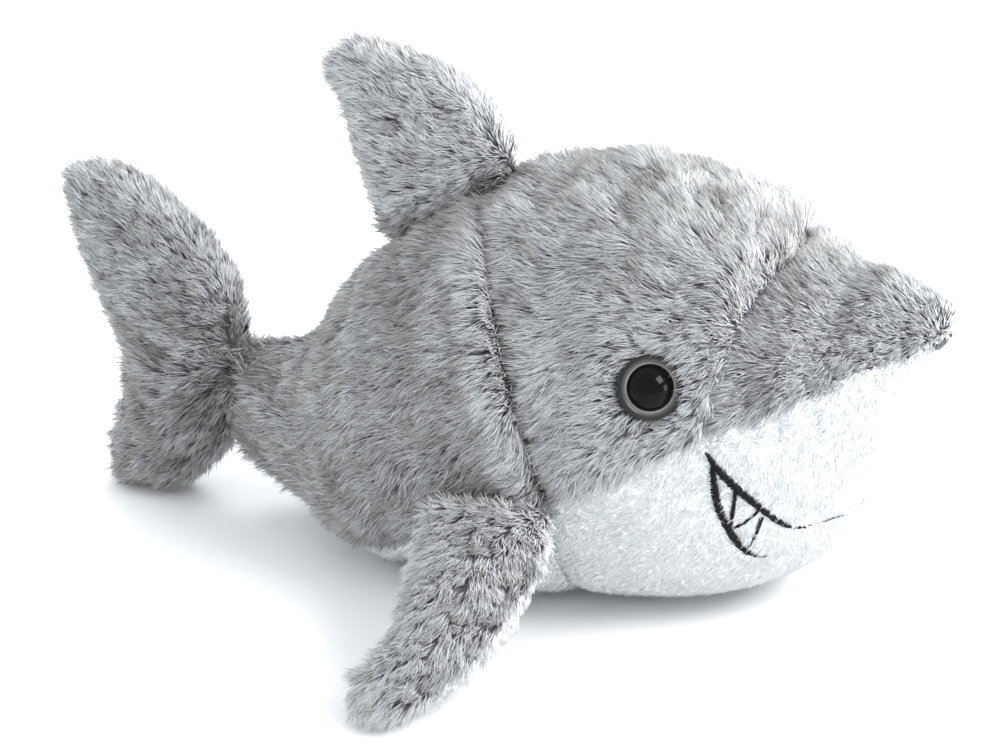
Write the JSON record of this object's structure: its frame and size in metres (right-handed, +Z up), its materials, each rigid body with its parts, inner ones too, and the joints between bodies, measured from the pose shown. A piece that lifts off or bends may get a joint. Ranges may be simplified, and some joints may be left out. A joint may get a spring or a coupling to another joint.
{
  "type": "plush shark",
  "caption": "Stuffed plush shark with sewn-on dorsal, pectoral and tail fins, safety eyes and an embroidered grin.",
  "frame": {"origin": "on the floor plane, under the middle of the toy's bounding box", "axes": "+X towards the nose, +Y the shark's left side, +Z up"},
  "size_m": [0.2022, 0.1786, 0.112],
  "materials": {
    "grey_plush": "long silky grey plush pile, light at the tips and darker at the roots",
    "white_plush": "short smooth white plush pile",
    "filling": "loose white polyester fibre",
    "eye_ring": "pearly grey moulded plastic, satin gloss",
    "eye_black": "polished black plastic",
    "eye_post": "plain moulded black plastic",
    "washer": "plain moulded white plastic",
    "thread": "black rayon embroidery thread in satin stitch"
  },
  "bodies": {
    "torso": {"nose_panel": "grey_plush", "head_panel_right": "grey_plush", "head_panel_left": "grey_plush", "body_panel_right": "grey_plush", "body_panel_left": "grey_plush", "jaw_panel_right": "white_plush", "jaw_panel_left": "white_plush", "belly_panel": "white_plush", "body_filling": "filling", "eye_ring_right": "eye_ring", "eye_ring_left": "eye_ring", "eye_dome_right": "eye_black", "eye_dome_left": "eye_black", "eye_post_right": "eye_post", "eye_post_left": "eye_post", "eye_washer_right": "washer", "eye_washer_left": "washer", "upper_lip": "thread", "lower_lip": "thread", "teeth": "thread"},
    "tail": {"tail_panel_right": "grey_plush", "tail_panel_left": "grey_plush", "tail_filling": "filling"},
    "dorsal": {"dorsal_panel_right": "grey_plush", "dorsal_panel_left": "grey_plush", "dorsal_filling": "filling"},
    "right_pectoral": {"pectoral_top_right": "grey_plush", "pectoral_under_right": "white_plush", "pectoral_filling_right": "filling"},
    "left_pectoral": {"pectoral_top_left": "grey_plush", "pectoral_under_left": "white_plush", "pectoral_filling_left": "filling"}
  },
  "joints": [
    {"name": "tail_swing", "type": "hinge", "parent": "torso", "child": "tail", "pos_m": [-0.0594, 0, 0.028], "axis": [0, 0, 1], "range_deg": [-25, 25], "stiffness_Nm_per_rad": 0.03},
    {"name": "dorsal_lean", "type": "hinge", "parent": "torso", "child": "dorsal", "pos_m": [-0.00951, 0, 0.07756], "axis": [0.8521, 0, 0.5233], "range_deg": [-25, 25], "stiffness_Nm_per_rad": 0.03},
    {"name": "right_pectoral_flap", "type": "hinge", "parent": "torso", "child": "right_pectoral", "pos_m": [0.01387, -0.04235, 0.02773], "axis": [-0.9715, 0.1323, -0.1969], "range_deg": [-8, 40], "stiffness_Nm_per_rad": 0.03},
    {"name": "left_pectoral_flap", "type": "hinge", "parent": "torso", "child": "left_pectoral", "pos_m": [0.01387, 0.04235, 0.02773], "axis": [0.9715, 0.1323, 0.1969], "range_deg": [-8, 40], "stiffness_Nm_per_rad": 0.03}
  ]
}
